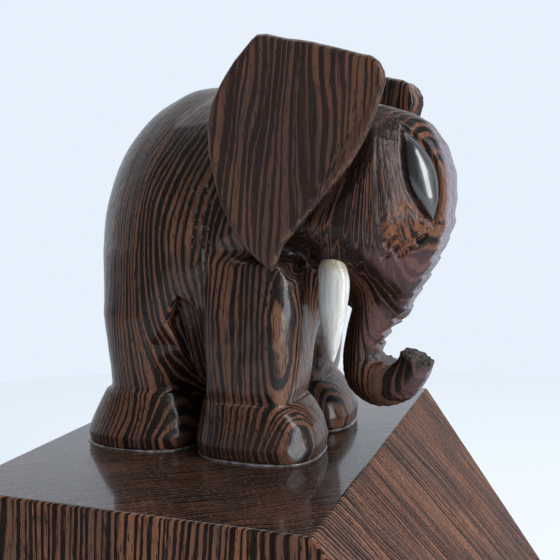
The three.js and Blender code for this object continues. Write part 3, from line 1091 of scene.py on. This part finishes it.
def figure_wenge(name, coat):
    """The carving's wood, darker in its eyes, with painted shade in its crease, and grey on the
    trunk's end.
    """
    n = Nodes(name)
    point = n.place()
    mirror = n.vector("ABSOLUTE", point)
    folded = n.vector("MULTIPLY", mirror, (-1, -1, 1))
    height = n.dot(point, (0, 0, 1))
    fore = n.dot(point, (0, -1, 0))
    wide = n.dot(mirror, (1, 0, 0))
    facing = n.tree.nodes.new("ShaderNodeNewGeometry").outputs["Normal"]

    # Knife cuts across the cheek's layers leave fine lines that fan downwards.
    ahead_of_crease = n.minus(fore, n.times(height, CREASE_SLOPE))
    turn = n.math("ARCTAN2", n.minus(FAN_FORE, fore), n.minus(FAN_Z, height))
    cheek = n.times(n.smooth(ahead_of_crease, -5.2, -3.6), n.smooth(wide, 7.0, 9.5),
                    n.smooth(height, 24.0, 29.0))
    fan = n.math("SINE", n.times(turn, CHEEK_LINES))
    colour, rough, relief = wenge_layers(n, FIGURE_ACROSS, 1.0, FIGURE_KNOTS,
                                         bend=n.times(cheek, CHEEK_BEND, fan))
    colour = n.mix(n.times(cheek, 0.32), colour, CHEEK_DARK)

    # The ear is browner, and painted shade darkens the crease in front of it.
    past_ear = n.plus(wide, n.times(fore, EAR_FLARE))
    past_ear = n.minus(past_ear, EAR_FRONT_X - EAR_FRONT_Y * EAR_FLARE)
    colour = n.mix(n.times(n.smooth(past_ear, -1.2, -0.6), 0.3), colour, EAR_BROWN)
    painted_crease_shade = n.times(n.smooth(ahead_of_crease, -3.0, -4.8), n.smooth(past_ear, -1.0, -2.0),
                   n.smooth(height, 51.5, 50.0), n.smooth(fore, 11.5, 13.0),
                   n.smooth(height, 26.0, 29.0))
    colour = n.mix(n.times(painted_crease_shade, 0.8), colour, WENGE_BLACK)
    in_eye = eye_area(n, folded, fore)
    colour = n.mix(n.times(in_eye, 0.9), colour, EYE_BLACK)

    # A painted sheen, the bright backdrop's lavender reflection, lies on the forehead and the
    # trunk's front.
    fibres = n.noise(n.vector("MULTIPLY", point, (3.2, 3.2, 0.8)), detail=3.0)
    ahead = n.smooth(n.dot(facing, (0, -1, 0)), 0.72, 0.97)
    painted_sheen = n.times(ahead, n.smooth(fore, 22.5, 25.5), n.smooth(fibres, 0.38, 0.62, 0.30, 0.78),
                    n.smooth(wide, 13.0, 11.0))
    colour = n.mix(painted_sheen, colour, PAINTED_SHEEN_LAVENDER)
    # Painted sheen: the chamfer that faces the window is mixed towards a lighter plain purple.
    on_right = n.smooth(n.dot(facing, CHAMFER_OUT), 0.90, 0.975)
    plain_and_sheen = n.times(on_right, n.smooth(fore, 22.6, 23.6), n.smooth(height, 31.5, 29.5))
    colour = n.mix(n.times(plain_and_sheen, 0.65), colour, PLAIN_PURPLE_AND_SHEEN)

    # A knot glows orange below the eye, and dust has settled in the hollows.
    ember = n.noise(n.vector("MULTIPLY", point, (0.9, 0.9, 0.5)), detail=2.0, distortion=1.2)
    glow = n.times(blob(n, point, *KNOT_PLACE), n.smooth(ember, 0.46, 0.56))
    colour = n.mix(n.times(glow, 0.6), colour, KNOT_ORANGE)
    colour = n.mix(n.times(dusty_area(n, point), 0.5), colour, DUST_AND_GLINT_GREY)

    # The trunk's sawn end is grey and dull.
    above = n.dot(n.vector("SUBTRACT", point, TRUNK_END), TRUNK_END_OUT)
    far = n.dot(point, (0, -0.8, -0.6))
    sawn = n.times(n.smooth(above, -0.75, -0.35), n.smooth(far, 13.0, 13.6))
    streak = n.noise(n.vector("MULTIPLY", point, (1.2, 4.0, 4.0)), detail=3.0)
    grey = n.mix(n.smooth(streak, 0.4, 0.62), WENGE_BROWN, SAWN_GREY)
    colour = n.mix(n.times(sawn, 0.85), colour, grey)

    rough = n.plus(rough, n.minus(0.30, n.times(in_eye, 0.14)))
    rough = n.plus(rough, n.times(sawn, 0.3))
    n.set(Base_Color=colour, Roughness=rough, Coat_Weight=coat, Coat_Roughness=0.16,
          Specular_IOR_Level=0.12)
    calm = n.minus(1.0, in_eye)
    n.bump(n.times(relief, calm), WENGE_RELIEF)
    return n.material


def polished_eye():
    """The eye's own face: black heartwood rubbed to a hard shine."""
    n = Nodes("eye_polish")
    point = n.place()
    cloud = n.noise(n.vector("MULTIPLY", point, (1.4, 1.4, 0.3)), detail=2.0)
    colour = n.mix(n.smooth(cloud, 0.4, 0.65), EYE_BLACK, (0.020, 0.0165, 0.0160))
    n.set(Base_Color=colour, Roughness=n.smooth(cloud, 0.3, 0.7, 0.30, 0.40))
    n.set(Coat_Weight=1.0, Coat_Roughness=0.09, Specular_IOR_Level=0.8)
    n.bump(cloud, 0.02 * MM, 0.5)
    return n.material


def ivory():
    """Polished bone: creamy, with faint upright grain and a browner root."""
    n = Nodes("tusk_bone")
    point = n.place()
    height = n.dot(point, (0, 0, 1))
    streaks = n.noise(n.vector("MULTIPLY", point, (2.2, 2.2, 0.12)), detail=3.0)
    specks = n.noise(n.vector("MULTIPLY", point, (3.0, 3.0, 0.9)), detail=2.0)
    base = n.mix(n.smooth(streaks, 0.35, 0.65), (0.66, 0.63, 0.56), (0.80, 0.80, 0.77))
    root = n.smooth(n.plus(height, n.times(specks, 3.0)), 27.5, 32.0)
    colour = n.mix(root, base, (0.36, 0.26, 0.13))
    colour = n.mix(n.smooth(specks, 0.66, 0.74, 0, 0.5), colour, (0.32, 0.24, 0.15))
    n.set(Base_Color=colour, Roughness=n.smooth(streaks, 0.3, 0.7, 0.22, 0.34))
    n.set(Coat_Weight=0.4, Coat_Roughness=0.1, Subsurface_Weight=0.12)
    n.shader.inputs["Subsurface Radius"].default_value = (1.0, 0.7, 0.45)
    n.shader.inputs["Subsurface Scale"].default_value = 0.6 * MM
    n.bump(streaks, 0.05 * MM, 0.5)
    return n.material


def dried_glue():
    """Clear wood glue that has dried pale and cloudy."""
    n = Nodes("dried_glue")
    point = n.place()
    cloud = n.noise(point, 0.9, detail=3.0)
    dust = n.noise(point, 5.0, detail=2.0)
    colour = n.mix(n.smooth(cloud, 0.35, 0.65), (0.085, 0.062, 0.050), (0.26, 0.235, 0.215))
    colour = n.mix(n.smooth(dust, 0.50, 0.65, 0, 0.7), colour, (0.05, 0.034, 0.027))
    n.set(Base_Color=colour, Roughness=n.smooth(cloud, 0.3, 0.7, 0.3, 0.5), Coat_Weight=0.3)
    n.bump(dust, 0.08 * MM, 0.6)
    return n.material


def beech():
    """Plain pale dowel wood."""
    n = Nodes("dowel_beech")
    point = n.place()
    fibre = n.noise(n.vector("MULTIPLY", point, (3.5, 3.5, 0.2)), detail=3.0)
    flecks = n.noise(n.vector("MULTIPLY", point, (4.0, 1.5, 0.8)), detail=1.0)
    colour = n.mix(n.smooth(fibre, 0.3, 0.7), (0.44, 0.27, 0.14), (0.60, 0.42, 0.26))
    colour = n.mix(n.smooth(flecks, 0.62, 0.7, 0, 0.5), colour, (0.30, 0.16, 0.08))
    n.set(Base_Color=colour, Roughness=n.smooth(fibre, 0.3, 0.7, 0.55, 0.7))
    n.bump(fibre, 0.08 * MM, 0.6)
    return n.material


def felt():
    """Dark green baize: matted fibres with a soft nap."""
    n = Nodes("baize")
    point = n.place()
    mat = n.noise(point, 1.6, detail=4.0, roughness=0.7)
    fibre = n.noise(n.vector("MULTIPLY", point, (7.0, 2.0, 7.0)), detail=3.0, distortion=1.5)
    colour = n.mix(n.smooth(mat, 0.3, 0.7), (0.012, 0.045, 0.026), (0.028, 0.085, 0.050))
    colour = n.mix(n.smooth(fibre, 0.55, 0.75, 0, 0.6), colour, (0.06, 0.13, 0.085))
    n.set(Base_Color=colour, Roughness=n.smooth(mat, 0.2, 0.8, 0.85, 1.0))
    n.set(Sheen_Weight=0.4, Sheen_Roughness=0.5)
    n.bump(n.plus(mat, fibre), 0.25 * MM, 0.8)
    return n.material


def plain_material(name, colour, roughness):
    n = Nodes(name)
    n.set(Base_Color=(*colour, 1), Roughness=roughness)
    return n.material


# ---- stage

def make_floor():
    bpy.ops.mesh.primitive_circle_add(vertices=128, radius=0.24, fill_type="NGON")
    floor = bpy.context.object
    floor.name = "floor"
    floor.data.materials.append(plain_material("floor_white", (0.93, 0.95, 0.97), 0.6))


CAMERA_AIM = Vector((0, -7.6 * MM, 24.8 * MM)) + FIGURE
CAMERA_DISTANCE = 138.1 * MM
CAMERA_AZIMUTH = math.radians(-71.3)
CAMERA_ELEVATION = math.radians(5.6)
CAMERA_LENS = 55.6


def make_camera():
    flat = math.cos(CAMERA_ELEVATION)
    back = Vector((
        math.sin(CAMERA_AZIMUTH) * flat,
        -math.cos(CAMERA_AZIMUTH) * flat,
        math.sin(CAMERA_ELEVATION),
    ))
    data = bpy.data.cameras.new("camera")
    data.lens = CAMERA_LENS
    data.sensor_width = 36
    data.clip_start = 0.005
    camera = bpy.data.objects.new("camera", data)
    camera.location = CAMERA_AIM + back * CAMERA_DISTANCE
    camera.rotation_euler = (-back).to_track_quat("-Z", "Y").to_euler()
    bpy.context.collection.objects.link(camera)
    bpy.context.scene.camera = camera


def make_light(name, place, size, power, colour, aim=CAMERA_AIM):
    data = bpy.data.lights.new(name, "AREA")
    data.shape = "RECTANGLE"
    data.size, data.size_y = size
    data.energy = power
    data.color = colour
    light = bpy.data.objects.new(name, data)
    light.location = aim + Vector(place)
    light.rotation_euler = (-Vector(place)).to_track_quat("-Z", "Y").to_euler()
    bpy.context.collection.objects.link(light)


BACKDROP_DIRECTION = (0.947, 0.32, 0.0)
BACKDROP_BRIGHT = (0.80, 0.88, 0.98, 1)
ROOM_DIM = (0.165, 0.18, 0.20, 1)


def make_world():
    """A bright backdrop behind the object and a dimmer room on the near side."""
    world = bpy.data.worlds.new("world")
    world.use_nodes = True
    tree = world.node_tree
    place = tree.nodes.new("ShaderNodeTexCoord")
    facing = tree.nodes.new("ShaderNodeVectorMath")
    facing.operation = "DOT_PRODUCT"
    facing.inputs[1].default_value = BACKDROP_DIRECTION
    share = tree.nodes.new("ShaderNodeMapRange")
    share.interpolation_type = "SMOOTHSTEP"
    share.inputs["From Min"].default_value = -0.35
    share.inputs["From Max"].default_value = 0.45
    mix = tree.nodes.new("ShaderNodeMix")
    mix.data_type = "RGBA"
    mix.inputs[6].default_value = ROOM_DIM
    mix.inputs[7].default_value = BACKDROP_BRIGHT
    tree.links.new(place.outputs["Generated"], facing.inputs[0])
    tree.links.new(facing.outputs["Value"], share.inputs["Value"])
    tree.links.new(share.outputs[0], mix.inputs["Factor"])
    tree.links.new(mix.outputs[2], tree.nodes["Background"].inputs["Color"])
    bpy.context.scene.world = world


bpy.context.scene.view_settings.view_transform = "Standard"
make_camera()
make_floor()
make_world()
make_light("window", (-0.145, -0.505, 0.13), (0.15, 0.58), 2.8, (0.93, 0.96, 1.0))
make_light("overhead", (0.05, 0.10, 0.60), (0.50, 0.50), 1.6, (0.90, 0.95, 1.0))

make_elephant(figure_wenge("figure_wenge", 0.40), figure_wenge("face_wenge", 0.15), polished_eye())
make_plinth(plinth_wenge("plinth_wenge", 0.40, 0.04, 0.25, 1.4, 0.0),
            plinth_wenge("plinth_top_wenge", 0.24, 0.9, 0.10, 0.6, 0.35))
bone, glue = ivory(), dried_glue()
for side, word in ((1, "right"), (-1, "left")):
    make_tusk(side, "carved_tusk_" + word, bone)
    for place, (foot, power) in enumerate(((FRONT_FOOT, 2.8), (REAR_FOOT, 2.3))):
        end = ("front", "rear")[place]
        make_glue(f"glue_bead_{end}_{word}", f"glue_bed_{end}_{word}", foot, side, power,
                  10 * place + side + 2, glue)
dowel = beech()
for name in ("dowel_front_right", "dowel_rear_left"):
    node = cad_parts[name]
    node.data.materials.clear()
    node.data.materials.append(dowel)
make_felt(felt())
